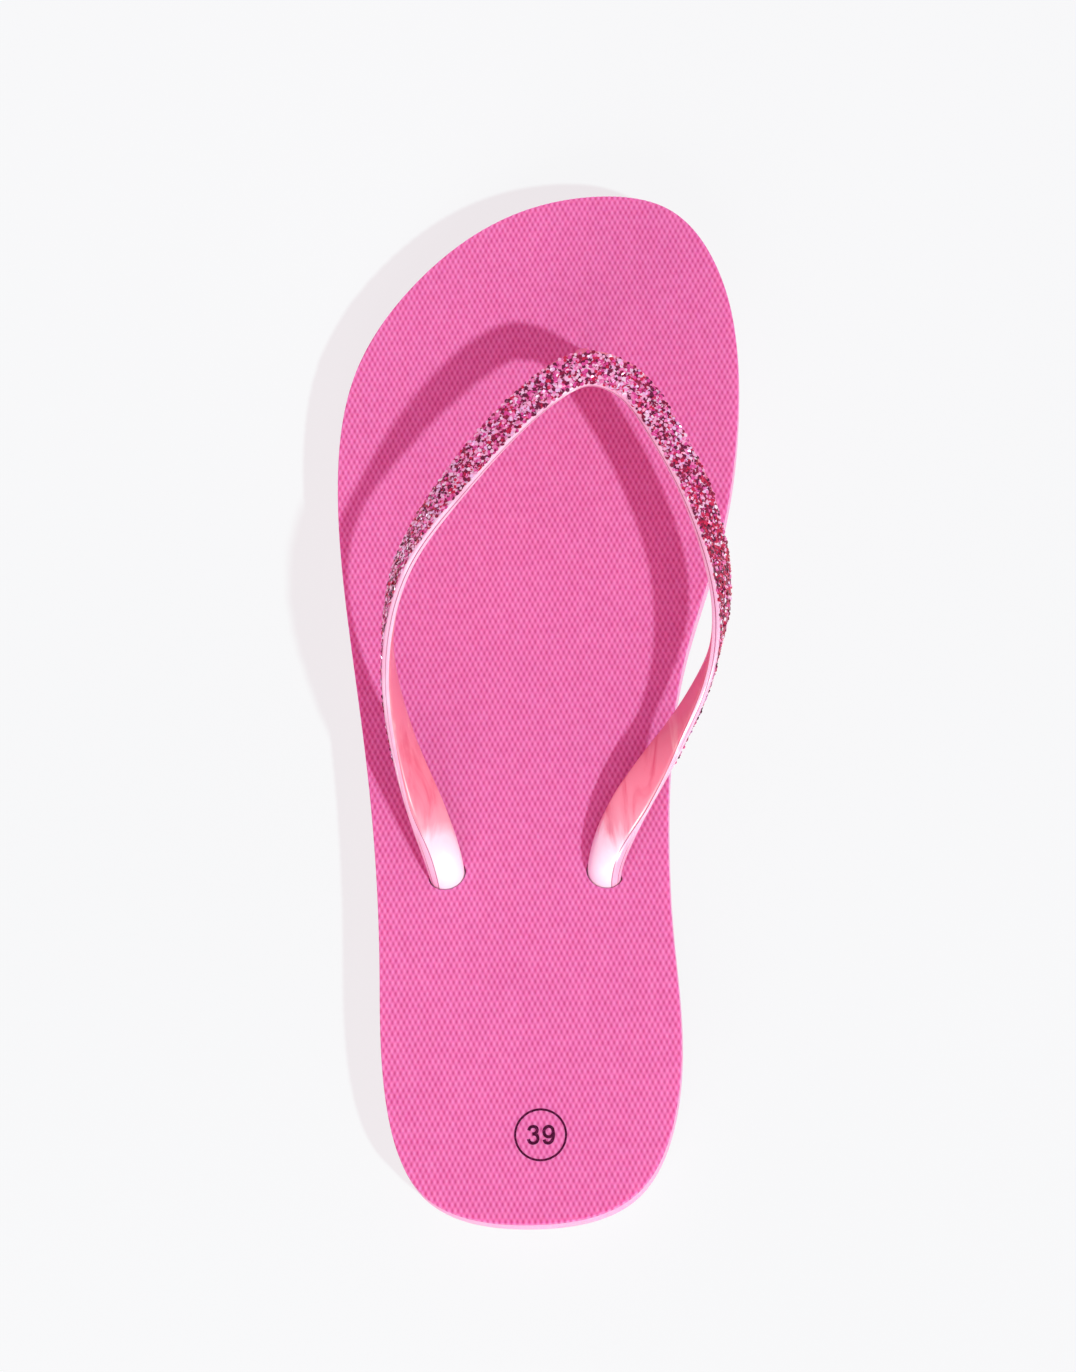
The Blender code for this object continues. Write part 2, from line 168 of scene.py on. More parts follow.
def evenly(points, count):
    """Points along an open spline, the same distance apart."""
    at = spline(points, closed=False)
    fine = np.array([at(i, b) for i in range(len(points) - 1)
                     for b in np.linspace(0, 1, 24, endpoint=False)] + [at(len(points) - 2, 1)])
    run = np.concatenate([[0], np.cumsum(np.linalg.norm(np.diff(fine[:, :3], axis=0), axis=1))])
    wanted = np.linspace(0, run[-1], count)
    return np.stack([np.interp(wanted, run, fine[:, k]) for k in range(fine.shape[1])], axis=1)


def outline(inset, steps):
    """The sole's outline, moved inwards by an inset."""
    at = spline(OUTLINE, closed=True)
    loop = np.array([at(i, b) for i in range(len(OUTLINE))
                     for b in np.linspace(0, 1, steps, endpoint=False)])
    low, high = loop.min(axis=0), loop.max(axis=0)
    loop = (loop - (low + high) / 2) * SOLE_LENGTH / (high[1] - low[1])
    along = np.roll(loop, -1, axis=0) - np.roll(loop, 1, axis=0)
    along /= np.linalg.norm(along, axis=1)[:, None]
    return loop + np.stack([-along[:, 1], along[:, 0]], axis=1) * inset


def circle(centre, radius, steps):
    """A ring of evenly spaced points."""
    turn = np.arange(steps) * 2 * math.pi / steps
    return np.stack([centre[0] + radius * np.cos(turn), centre[1] + radius * np.sin(turn)], axis=1)


def inside(points, loop):
    """Which points lie inside a closed loop."""
    x, y = points[:, 0], points[:, 1]
    hit = np.zeros(len(points), bool)
    for (x0, y0), (x1, y1) in zip(loop, np.roll(loop, -1, axis=0)):
        if y0 == y1:
            continue
        crosses = (y0 > y) != (y1 > y)
        hit ^= crosses & (x < (x1 - x0) * (y - y0) / (y1 - y0) + x0)
    return hit


# ---- meshes -----------------------------------------------------------------------------------
def make_object(name, verts, faces, smooth_angle=SMOOTH_ANGLE):
    """An object from points in millimetres; a smooth angle of 0 leaves its faces flat."""
    mesh = bpy.data.meshes.new(name)
    mesh.from_pydata(np.asarray(verts) * MM, [], faces)
    mesh.update()
    if smooth_angle:
        mesh.shade_smooth()
        mesh.set_sharp_from_angle(angle=math.radians(smooth_angle))
    made = bpy.data.objects.new(name, mesh)
    bpy.context.scene.collection.objects.link(made)
    return made


def loft_data(rings, start):
    """Vertices and faces of a closed body through its rings; start is its first vertex."""
    verts = [tuple(point) for ring in rings for point in ring]
    size, faces = len(rings[0]), []
    for row in range(len(rings) - 1):
        low = start + row * size
        for k in range(size):
            n = (k + 1) % size
            faces.append((low + k, low + n, low + size + n, low + size + k))
    faces.append(tuple(start + k for k in reversed(range(size))))
    faces.append(tuple(start + (len(rings) - 1) * size + k for k in range(size)))
    return verts, faces


def loft(name, bodies, smooth_angle=SMOOTH_ANGLE):
    """One object made of closed bodies, each of them a list of rings."""
    verts, faces = [], []
    for rings in bodies:
        more, more_faces = loft_data(rings, len(verts))
        verts += more
        faces += more_faces
    made = make_object(name, verts, faces, smooth_angle)
    outwards_faces(made.data)
    return made


def outwards_faces(mesh):
    """Turns every face of a closed mesh outwards."""
    bm = bmesh.new()
    bm.from_mesh(mesh)
    bmesh.ops.recalc_face_normals(bm, faces=bm.faces)
    bm.to_mesh(mesh)
    bm.free()


def boolean(target, other, operation):
    """Joins or cuts at once, and drops the other object."""
    change = target.modifiers.new("cut", "BOOLEAN")
    change.operation, change.solver, change.object = operation, "EXACT", other
    solid = bpy.data.meshes.new_from_object(
        target.evaluated_get(bpy.context.evaluated_depsgraph_get()))
    target.modifiers.clear()
    target.data = solid
    bpy.data.objects.remove(other)


def shade(made, angle):
    """Smooth shading, with sharp edges where the surface folds by more than an angle."""
    made.data.shade_smooth()
    made.data.set_sharp_from_angle(angle=math.radians(angle))


def loop_edges(loops, start):
    """The edges of closed loops whose points are numbered on from start."""
    edges = []
    for loop in loops:
        edges += [(start + k, start + (k + 1) % len(loop)) for k in range(len(loop))]
        start += len(loop)
    return edges


# ---- node materials ---------------------------------------------------------------------------
class Nodes:
    """Short ways to write a node material."""

    def __init__(self, name):
        self.material = bpy.data.materials.new(name)
        self.material.use_nodes = True
        self.tree = self.material.node_tree
        self.shader = self.tree.nodes["Principled BSDF"]
        self.place = self.node("ShaderNodeTexCoord").outputs["Object"]

    def node(self, kind, **settings):
        made = self.tree.nodes.new(kind)
        for key, value in settings.items():
            setattr(made, key, value)
        return made

    def put(self, socket, value):
        if isinstance(value, bpy.types.NodeSocket):
            self.tree.links.new(value, socket)
        else:
            socket.default_value = value

    def math(self, operation, *values):
        made = self.node("ShaderNodeMath", operation=operation)
        for socket, value in zip(made.inputs, values):
            self.put(socket, value)
        return made.outputs[0]

    def axes(self):
        """The place's x, y and z."""
        made = self.node("ShaderNodeSeparateXYZ")
        self.put(made.inputs[0], self.place)
        return made.outputs

    def stretched(self, scale, turn=0.0):
        made = self.node("ShaderNodeMapping")
        self.put(made.inputs["Vector"], self.place)
        made.inputs["Rotation"].default_value = (0, 0, turn)
        made.inputs["Scale"].default_value = scale
        return made.outputs[0]

    def noise(self, scale, detail=3.0, vector=None, distortion=0.0, roughness=0.5):
        made = self.node("ShaderNodeTexNoise")
        self.put(made.inputs["Vector"], vector or self.place)
        for key, value in (("Scale", scale), ("Detail", detail), ("Distortion", distortion),
                           ("Roughness", roughness)):
            made.inputs[key].default_value = value
        return made.outputs["Fac"]

    def voronoi(self, scale, output="Distance"):
        made = self.node("ShaderNodeTexVoronoi")
        self.put(made.inputs["Vector"], self.place)
        made.inputs["Scale"].default_value = scale
        return made.outputs[output]

    def ramp(self, factor, *stops):
        made = self.node("ShaderNodeValToRGB")
        self.put(made.inputs[0], factor)
        elements = made.color_ramp.elements
        while len(elements) < len(stops):
            elements.new(0.5)
        for element, (at, colour) in zip(elements, stops):
            element.position = at
            element.color = (*colour, 1.0)
        return made.outputs[0]

    def mix(self, factor, a, b, blend="MIX"):
        made = self.node("ShaderNodeMix", data_type="RGBA", blend_type=blend)
        self.put(made.inputs[0], factor)
        for socket, value in ((made.inputs[6], a), (made.inputs[7], b)):
            self.put(socket, value if isinstance(value, bpy.types.NodeSocket) else (*value, 1.0))
        return made.outputs[2]

    def grey(self, factor, low, high, factor_low=0.0):
        """Maps a factor, from its own lowest value to 1, to a range."""
        made = self.node("ShaderNodeMapRange")
        self.put(made.inputs["Value"], factor)
        made.inputs["From Min"].default_value = factor_low
        made.inputs["To Min"].default_value = low
        made.inputs["To Max"].default_value = high
        return made.outputs[0]

    def bump(self, height, distance, strength=1.0, before=None):
        made = self.node("ShaderNodeBump")
        self.put(made.inputs["Height"], height)
        made.inputs["Distance"].default_value = distance
        made.inputs["Strength"].default_value = strength
        if before:
            self.put(made.inputs["Normal"], before)
        return made.outputs[0]

    def finish(self, colour, roughness, normal=None, **fixed):
        """Fills in the shader: values that vary are linked, fixed ones set on its sockets."""
        self.put(self.shader.inputs["Base Color"],
                 colour if isinstance(colour, bpy.types.NodeSocket) else (*colour, 1.0))
        self.put(self.shader.inputs["Roughness"], roughness)
        if normal:
            self.put(self.shader.inputs["Normal"], normal)
        for key, value in fixed.items():
            self.shader.inputs[key.replace("_", " ")].default_value = value
        return self.material


WHITE = (1.0, 1.0, 1.0)
HOT_PINK = (0.815, 0.190, 0.434)
# The deep and pale copies of the hot pink are painted shade in the emboss's pits and painted light
# on its crests.
HOT_PINK_PAINTED_SHADE = (0.630, 0.092, 0.272)
HOT_PINK_PAINTED_LIGHT = (0.880, 0.272, 0.545)
WALL_PINK = (0.900, 0.450, 0.640)
WALL_PINK_DEEP = (0.84, 0.36, 0.58)
# White of the painted highlight on the rear legs' ends.
PAINTED_HIGHLIGHT_WHITE = (1.0, 0.86, 0.91)
FOAM_GLOW = {"Subsurface_Weight": 0.35, "Subsurface_Scale": 0.004,
             "Subsurface_Radius": (1.0, 0.16, 0.40)}


def footbed_foam():
    """Embossed EVA foam: painted shade in the pits, painted light on the crests, faint mottling, a
    dry, soft gloss.
    """
    n = Nodes("hot_pink_embossed_foam")
    wave = n.math("MULTIPLY", *(
        n.math("COSINE", n.math("MULTIPLY", axis, 2 * math.pi / (pitch * MM)))
        for axis, pitch in zip(n.axes(), (PITCH_ACROSS, PITCH_ALONG))))
    uneven = n.math("MULTIPLY", n.math("SUBTRACT", n.noise(420, 2), 0.5), 0.9)
    depth = n.grey(n.math("ADD", wave, uneven), 0.0, 1.0, factor_low=-1.0)
    # Painted shade and light: the colour follows the pits' depth, darker down in them and paler on
    # the crests.
    painted_emboss_shade = n.ramp(depth, (0.0, HOT_PINK_PAINTED_LIGHT), (0.45, HOT_PINK), (1.0, HOT_PINK_PAINTED_SHADE))
    cloud = n.ramp(n.noise(14, 4, roughness=0.6), (0.3, (0.93, 0.90, 0.93)), (0.7, WHITE))
    colour = n.mix(1.0, painted_emboss_shade, cloud, "MULTIPLY")
    specks = n.ramp(n.voronoi(900), (0.0, (0.86, 0.80, 0.86)), (0.22, WHITE))
    colour = n.mix(0.6, colour, specks, "MULTIPLY")
    rough = n.grey(n.noise(700, 2), 0.58, 0.74)
    fine = n.bump(n.noise(2600, 3), 0.00006, 0.4)
    pores = n.bump(n.voronoi(1500), 0.00005, 0.35, fine)
    return n.finish(colour, rough, pores, Specular_IOR_Level=0.15, **FOAM_GLOW)


def wall_foam():
    """Cut foam: pale, with fine open pores and faint streaks from the cutting blade."""
    n = Nodes("pale_pink_cut_foam")
    cloud = n.ramp(n.noise(22, 4, roughness=0.6), (0.3, WALL_PINK_DEEP), (0.7, WALL_PINK))
    cells = n.voronoi(1400)
    pores = n.ramp(cells, (0.0, (0.62, 0.50, 0.56)), (0.26, WHITE))
    colour = n.mix(0.7, cloud, pores, "MULTIPLY")
    streaks = n.noise(1.0, 3, n.stretched((60, 60, 1500)))
    blade = n.bump(streaks, 0.00009, 0.5)
    open_pores = n.bump(cells, 0.00012, 0.6, blade)
    rough = n.grey(n.noise(500, 2), 0.62, 0.8)
    return n.finish(colour, rough, open_pores, Specular_IOR_Level=0.3, **FOAM_GLOW)


def pearl(name, deep, middle, bright, rough, ends=0.0):
    """Pearly PVC: drawn-out swirls of mica under a clear, satin skin.

    ends is how strongly a painted highlight whitens the rear ends.
    """
    n = Nodes(name)
    drawn = n.stretched((150, 26, 60), math.radians(8))
    swirl = n.noise(1.0, 4, drawn, distortion=1.6, roughness=0.55)
    body = n.ramp(swirl, (0.30, deep), (0.48, middle), (0.62, middle), (0.74, bright))
    cloud = n.noise(60, 3)
    colour = n.mix(n.grey(cloud, 0.0, 0.5), body, middle)
    # Painted highlight: towards the rear ends the colour turns white, where the broad satin
    # highlight lies.
    if ends:
        drift = n.math("MULTIPLY_ADD", swirl, 0.016, n.axes()[1])
        painted_end_highlight = n.ramp(drift, (0.033, (0.0,) * 3), (0.0425, (0.16,) * 3),
                          (0.0475, (0.90,) * 3), (0.054, WHITE))
        colour = n.mix(n.math("MULTIPLY", painted_end_highlight, ends), colour, PAINTED_HIGHLIGHT_WHITE)
    flow = n.bump(swirl, 0.00010, 0.5)
    grain = n.bump(n.noise(1800, 2), 0.00002, 0.4, flow)
    return n.finish(colour, n.grey(swirl, rough - 0.05, rough + 0.08), grain,
                    Subsurface_Weight=0.25, Subsurface_Scale=0.003,
                    Subsurface_Radius=(1.0, 0.35, 0.40), Coat_Weight=0.5, Coat_Roughness=0.25,
                    Specular_IOR_Level=0.6)


def glitter_bed():
    """The cast layer the flakes sit in: dark clear pink full of finer glitter."""
    n = Nodes("glitter_bed")
    cell = n.voronoi(2300, "Color")
    apart = n.node("ShaderNodeSeparateColor")
    n.put(apart.inputs[0], cell)
    colour = n.ramp(apart.outputs[0], (0.0, (0.10, 0.004, 0.035)), (0.35, (0.32, 0.015, 0.09)),
                    (0.6, (0.60, 0.07, 0.22)), (0.85, (0.85, 0.45, 0.62)))
    lift = n.bump(n.voronoi(2300), 0.00015, 0.8)
    return n.finish(colour, n.grey(apart.outputs[1], 0.18, 0.45), lift, Metallic=0.6)


# The loose flakes' colours, each with its share of them: everywhere, and on the inner flank.
FLAKES = {
    "plum": ((0.13, 0.006, 0.045), 0.15, 0.13),
    "maroon": ((0.27, 0.010, 0.055), 0.13, 0.22),
    "crimson": ((0.58, 0.018, 0.080), 0.10, 0.34),
    "magenta": ((0.72, 0.080, 0.330), 0.13, 0.09),
    "rose": ((0.92, 0.250, 0.500), 0.16, 0.08),
    "blush": ((0.97, 0.520, 0.720), 0.18, 0.07),
    "lilac": ((0.88, 0.600, 0.900), 0.09, 0.02),
    "silver": ((0.97, 0.840, 0.940), 0.06, 0.05),
}


def flake_foil(name, colour):
    """Metallised film; each flake's face is slightly crinkled."""
    n = Nodes("foil_" + name)
    paler = tuple(min(1, c * 1.5 + 0.03) for c in colour)
    tint = n.mix(n.grey(n.noise(900, 1), 0.0, 0.35), colour, paler)
    return n.finish(tint, 0.26, n.bump(n.noise(1500, 1), 0.00004, 0.5), Metallic=0.45,
                    Specular_IOR_Level=0.7)


def mark_ink():
    """Pad-printed ink, a little thin where the foam's pores show through."""
    n = Nodes("mark_ink")
    thin, full = (0.15, 0.008, 0.07), (0.050, 0.001, 0.022)
    colour = n.ramp(n.noise(1600, 3), (0.30, thin), (0.52, full))
    return n.finish(colour, n.grey(n.noise(900, 2), 0.5, 0.7), n.bump(n.noise(1600), 0.00003, 0.4),
                    Specular_IOR_Level=0.15)


def floor_finish():
    """A plain surface that glows, so that it is pale and the shadows on it are soft."""
    n = Nodes("studio_floor")
    colour = n.ramp(n.noise(2.0, 2), (0.3, (0.19,) * 3), (0.7, (0.21,) * 3))
    return n.finish(colour, 0.85, Specular_IOR_Level=0.1, Emission_Strength=1.0,
                    Emission_Color=(0.695, 0.730, 0.715, 1.0))


# ---- strap ------------------------------------------------------------------------------------
def strap_frames(count):
    """Places along the strap: centre, the ways across and outwards, width, and how far on."""
    rows = evenly([(*place, *outer, width) for place, outer, width in STATIONS], count)
    centres = rows[:, :3] + np.array([0, 0, TOP])
    along = np.gradient(centres, axis=0)
    along /= np.linalg.norm(along, axis=1)[:, None]
    outwards = rows[:, 3:6] - (rows[:, 3:6] * along).sum(axis=1)[:, None] * along
    outwards /= np.linalg.norm(outwards, axis=1)[:, None]
    return centres, np.cross(along, outwards), outwards, rows[:, 6], np.linspace(0, 1, count)


def channel_depth(share):
    """Depth of the glitter's channel, which runs out past the inlay's ends."""
    start, stop = INLAY_ENDS
    room = min(share - start, stop - share) / INLAY_FADE + 1
    return CHANNEL * min(max(room, 0.0), 1.0)


def eased(part):
    """A share from 0 to 1, with a soft start and end."""
    part = min(max(part, 0.0), 1.0)
    return part * part * (3 - 2 * part)


def leg_share(share):
    """How far the section has filled out to the oval one of the rear legs, 0 to 1."""
    end = min(share, 1 - share)
    begins, full, thins, ends = LEG_OVAL
    return eased((end - begins) / (full - begins)) * (1 - eased((end - thins) / (ends - thins)))


GROOVE_IN_STRAP = 0.32       # depth of the fine grooves along the upper edge
OVAL_INNER = 1.9             # how far the oval stands out over the flat section's faces
OVAL_OUTER = 0.15
RIM_FROM = 7                 # first point of a half section that belongs to the rim
RIM_TO = 18
# The darker flanks carry painted shade, as the grooves would be in shade.
SHADED_GROOVE_FLANKS = (7, 10)              # one flank of each of the two fine grooves, which is darker

# The way each point of half an oval section lies, in degrees from straight out sideways.
ROUND_TURNS = [-90, -83, -76, -70, -64, -59, -55, -51, -47, -36, -24, -20, -12, 0, 14, 30, 42, 50,
               56, 61, 90]


def half_profile(width, share, grooved):
    """Half the section, from the middle of the inner face round to the outer one.

    The inner face is crowned. On the upper edge two fine grooves part it from the rim, which
    rolls over to the channel that the glitter lies in. The rear legs fill out to an oval.
    """
    half, t, depth = width / 2, HALF_THICK, channel_depth(share)
    groove = GROOVE_IN_STRAP if grooved else 0.0

    def face(part):
        return -(t - 0.35) - (0.35 + CROWN) * math.sqrt(1 - part ** 2)
    flat = [(half * part, face(part)) for part in (0, 0.15, 0.3, 0.45, 0.6, 0.74, 0.85)]
    flat += [(half * 0.915, face(0.915) + groove), (half * 0.955, face(0.955)),
             (half - 0.02, -0.5), (half, -0.12), (half - groove * 0.7, 0.02), (half - 0.02, 0.15),
             (half - 0.04, t - 0.5), (half - 0.15, t - 0.22), (half - 0.36, t - 0.05),
             (half - 0.55, t), (half - RIM + 0.05, t - 0.02), (half - RIM - 0.02, t - 0.25 * depth),
             (half - RIM - 0.08, t - depth), (0.0, t - depth + 0.05)]
    oval = leg_share(share)
    inner, outer = t + CROWN + OVAL_INNER, t + OVAL_OUTER
    shape = []
    for (u, v), turn in zip(flat, ROUND_TURNS):
        a = math.radians(turn)
        round_u = half * math.cos(a)
        round_v = (inner if turn < 0 else outer) * math.sin(a)
        shape.append((u + (round_u - u) * oval, v + (round_v - v) * oval))
    return shape


def whole_section(half, other=None):
    """The closed section of one half and of the other one's mirror image, or of its own."""
    return half + [(-u, v) for u, v in reversed((other or half)[1:-1])]


def strap_section(width, share):
    return whole_section(half_profile(width, share, True), half_profile(width, share, False))


def swept(frames, section_at):
    """The rings of a body with a given section, swept along the strap."""
    return [[centre + across * u + outwards * v for u, v in section_at(width, share)]
            for centre, across, outwards, width, share in zip(*frames)]


def toe_post():
    """The post between the toes, with its moulded fillet under the strap."""
    rows = evenly([(x, y, z + TOP, r) for (x, y, z), r in POST_ROUTE], POST_STEPS)
    rings = []
    for k, (x, y, z, scale) in enumerate(rows):
        along = rows[min(k + 1, POST_STEPS - 1), :3] - rows[max(k - 1, 0), :3]
        along /= np.linalg.norm(along)
        side = np.cross(along, (0, 1, 0))
        side /= np.linalg.norm(side)
        other = np.cross(along, side)
        turn = np.arange(POST_STEPS) * 2 * math.pi / POST_STEPS
        rings.append([np.array((x, y, z)) + POST_RADIUS * scale
                      * (side * math.cos(a) + other * math.sin(a)) for a in turn])
    return loft("toe_post", [rings])


def strap_finishes():
    """The inner side's coral, the rim's pale pink, and the painted shade in the fine grooves."""
    # The inner side's last value paints a white highlight onto its rear ends.
    return [pearl("pearl_pvc_inner", (0.72, 0.065, 0.145), (0.86, 0.225, 0.30),
                  (0.97, 0.50, 0.48), 0.34, 0.95),
            pearl("pearl_pvc_rim", (0.86, 0.36, 0.52), (0.92, 0.52, 0.66),
                  (0.97, 0.74, 0.82), 0.30),
            # Painted shade: this darker PVC on one flank of each fine groove stands in for the
            # shade in it.
            pearl("pearl_pvc_painted_groove_shade", (0.42, 0.12, 0.22), (0.50, 0.18, 0.28),
                  (0.62, 0.30, 0.40), 0.40)]


def make_strap():
    """The moulding: the swept strap joined with the toe post."""
    frames = strap_frames(SECTIONS)
    rings = swept(frames, strap_section)
    size = len(rings[0])
    strap, post = loft("strap_moulding", [rings]), toe_post()
    for material in strap_finishes():
        strap.data.materials.append(material)
        post.data.materials.append(material)
    for face in strap.data.polygons:
        if len(face.vertices) != 4:
            continue
        around = sorted(v % size for v in face.vertices)
        first = around[0] if around[-1] - around[0] < size / 2 else around[-1]
        face.material_index = 2 if first in SHADED_GROOVE_FLANKS else int(RIM_FROM <= first < RIM_TO)
    boolean(strap, post, "UNION")
    shade(strap, 50)
    return strap, frames, rings


LEG_ROWS = 90                # rings from an end of the strap that a leg certainly has


def slice_ring(rings, level, side):
    """The strap's outline where one of its legs passes a level, from its lower end up."""
    order = rings if side > 0 else rings[::-1]
    ring = []
    for m in range(len(rings[0])):
        line = np.array([row[m] for row in order[:LEG_ROWS]])
        k = int(np.argmax(line[:, 2] > level))
        share = (level - line[k - 1, 2]) / (line[k, 2] - line[k - 1, 2])
        ring.append((line[k - 1] + share * (line[k] - line[k - 1]))[:2])
    return np.array(ring)


def hull(points):
    """The convex outline of some points."""
    order = sorted(map(tuple, points))

    def half(run):
        kept = []
        for p in run:
            while len(kept) > 1 and ((kept[-1][0] - kept[-2][0]) * (p[1] - kept[-2][1])
                                     <= (kept[-1][1] - kept[-2][1]) * (p[0] - kept[-2][0])):
                kept.pop()
            kept.append(p)
        return kept[:-1]
    return np.array(half(order) + half(order[::-1]))


def resampled(loop, count, grow):
    """A closed loop, evenly spaced and moved outwards."""
    closed = np.vstack([loop, loop[:1]])
    run = np.concatenate([[0], np.cumsum(np.linalg.norm(np.diff(closed, axis=0), axis=1))])
    at = np.linspace(0, run[-1], count, endpoint=False)
    loop = np.stack([np.interp(at, run, closed[:, k]) for k in (0, 1)], axis=1)
    centre = loop.mean(axis=0)
    away = loop - centre
    away /= np.linalg.norm(away, axis=1)[:, None]
    start = int(np.argmax(loop[:, 0]))
    return np.roll(loop + away * grow, -start, axis=0)


def leg_holes(rings):
    """The hole rings in the footbed, at its top and its bottom."""
    holes = [(circle(TOE_HOLE, POST_RADIUS + HOLE_SPARE, POST_STEPS),) * 2]
    for side in (1, -1):
        holes.append(tuple(resampled(hull(slice_ring(rings, z, side)), HOLE_STEPS, HOLE_SPARE)
                           for z in (TOP - 0.1, FOOTBED_BOTTOM)))
    return holes


# ---- footbed ----------------------------------------------------------------------------------
def emboss(x, y):
    """Height of the grip pattern below its crests."""
    wave = np.cos(2 * math.pi * x / PITCH_ACROSS) * np.cos(2 * math.pi * y / PITCH_ALONG)
    return -EMBOSS_DEPTH * ((1 + wave) / 2) ** EMBOSS_SHARPNESS


RIM_INSET = 0.17             # of the top's edge, from the footbed's widest outline
GRID_INSET = 0.42            # of the outermost sampled points
HOLE_CLEARANCE = 0.25        # from a hole's edge to the nearest sampled point
GRID_REACH = (55, 132)       # the sampled field's half width and half length


def grid_points(edge, holes):
    """The sampled grip pattern's points, clear of the edge and of the holes."""
    dx, dy = PITCH_ACROSS / EMBOSS_SAMPLES, PITCH_ALONG / EMBOSS_SAMPLES
    steps = [(round(reach / pitch), pitch) for reach, pitch in zip(GRID_REACH, (dx, dy))]
    grid = np.stack(np.meshgrid(*(np.arange(-n, n + 1) * pitch for n, pitch in steps)),
                    axis=-1).reshape(-1, 2)
    keep = inside(grid, edge)
    for hole in holes:
        keep &= ~inside(grid, hole)
    return grid[keep]


def embossed_top(rim, holes):
    """The top's points and triangles, and the points' numbers round its rim and its holes."""
    clear = [resampled(top, HOLE_STEPS, HOLE_CLEARANCE) for top, bottom in holes]
    grid = grid_points(outline(FOOTBED_INSET + GRID_INSET, OUTLINE_STEPS), clear)
    loops = [rim] + [top for top, bottom in holes]
    points = [Vector(p) for p in np.vstack([grid] + loops)]
    flat = delaunay_2d_cdt(points, loop_edges(loops, len(grid)), [], 1, 1e-4)
    coords = np.array([tuple(p) for p in flat[0]])
    tris = np.array([tuple(t) for t in flat[2]])
    middles = coords[tris].mean(axis=1)
    keep = inside(middles, rim)
    for top, bottom in holes:
        keep &= ~inside(middles, top)
    verts = [tuple(v) for v in np.column_stack([coords, TOP + emboss(*coords.T)])]
    where = {given: made for made, origin in enumerate(flat[3]) for given in origin}
    starts = np.cumsum([len(grid)] + [len(loop) for loop in loops])
    around = [[where[k] for k in range(*span)] for span in zip(starts, starts[1:])]
    return verts, [tuple(t) for t in tris[keep]], around


def make_footbed(holes):
    """A die-cut sheet of foam whose top is the embossed grip pattern itself."""
    rim = outline(FOOTBED_INSET + RIM_INSET, OUTLINE_STEPS)
    verts, faces, (edge, *mouths) = embossed_top(rim, holes)

    def wall(last, rings):
        """Carries an edge down through some rings, and gives back the lowest one's points."""
        for ring, z in rings:
            new = list(range(len(verts), len(verts) + len(ring)))
            verts.extend((x, y, z) for x, y in ring)
            for k in range(len(ring)):
                n = (k + 1) % len(ring)
                faces.append((last[k], last[n], new[n], new[k]))
            last = new
        return last
    outer = wall(edge, [(outline(FOOTBED_INSET + inset, OUTLINE_STEPS), z) for inset, z in
                        ((0.08, TOP - 0.45), (0.0, TOP - 0.65), (0.0, FOOTBED_BOTTOM + 0.1),
                         (0.08, FOOTBED_BOTTOM))])
    inner = [wall(mouth, [(top, TOP - 0.6), (bottom, FOOTBED_BOTTOM)])
             for mouth, (top, bottom) in zip(mouths, holes)]
    underside(verts, faces, [outer] + inner)
    sheet = make_object("footbed_embossed", verts, faces, 40)
    outwards_faces(sheet.data)
    sheet.data.materials.append(footbed_foam())
    return sheet


def underside(verts, faces, loops):
    """Closes a sheet's flat bottom between its edge and its holes."""
    order = [i for loop in loops for i in loop]
    points = [Vector(verts[i][:2]) for i in order]
    flat = delaunay_2d_cdt(points, loop_edges(loops, 0), [], 1, 1e-5)
    tris = np.array([tuple(t) for t in flat[2]])
    coords = np.array([tuple(p) for p in flat[0]])
    origin = [ids[0] for ids in flat[3]]
    middles = coords[tris].mean(axis=1)
    keep = np.ones(len(tris), bool)
    for loop in loops[1:]:
        keep &= ~inside(middles, np.array([verts[i][:2] for i in loop]))
    faces.extend(tuple(order[origin[i]] for i in t) for t in tris[keep])


# ---- sole base --------------------------------------------------------------------------------
def tread_runs(y):
    """Where a groove may run at one place along the sole: inside the edge, past a plug."""
    loop = outline(TREAD_MARGIN, 5)
    crossings = [x0 + (x1 - x0) * (y - y0) / (y1 - y0)
                 for (x0, y0), (x1, y1) in zip(loop, np.roll(loop, -1, axis=0))
                 if (y0 - y) * (y1 - y) < 0]
    left, right = min(crossings), max(crossings)
    if abs(y - TOE_HOLE[1]) < PLUG_MARGIN:
        return [(left, TOE_HOLE[0] - PLUG_MARGIN), (TOE_HOLE[0] + PLUG_MARGIN, right)]
    return [(left, right)]


def tread_grooves():
    """Rounded zigzag grooves, wider at the mouth than at the floor."""
    grooves = []
    for first, last in (BALL_TREAD, HEEL_TREAD):
        for row in range(int((last - first) / GROOVE_PITCH) + 1):
            y = first + row * GROOVE_PITCH
            for left, right in tread_runs(y):
                teeth = max(2, round((right - left) / ZIGZAG_STEP))
                t = np.linspace(0, teeth, teeth * 8 + 1)
                xs = left + (right - left) * t / teeth
                ys = y + ZIGZAG_RISE / 2 * np.sin(math.pi * (t + 0.5)) * 0.95
                rings = []
                for half, z in ((GROOVE_HALF + 0.25, -1.0), (GROOVE_HALF + 0.15, 0.0),
                                (GROOVE_HALF - 0.15, GROOVE_DEPTH - 0.3),
                                (GROOVE_HALF - 0.45, GROOVE_DEPTH)):
                    low = [(x, v - half, z) for x, v in zip(xs, ys)]
                    high = [(x, v + half, z) for x, v in zip(xs[::-1], ys[::-1])]
                    rings.append(low + high)
                grooves.append(rings)
    return grooves


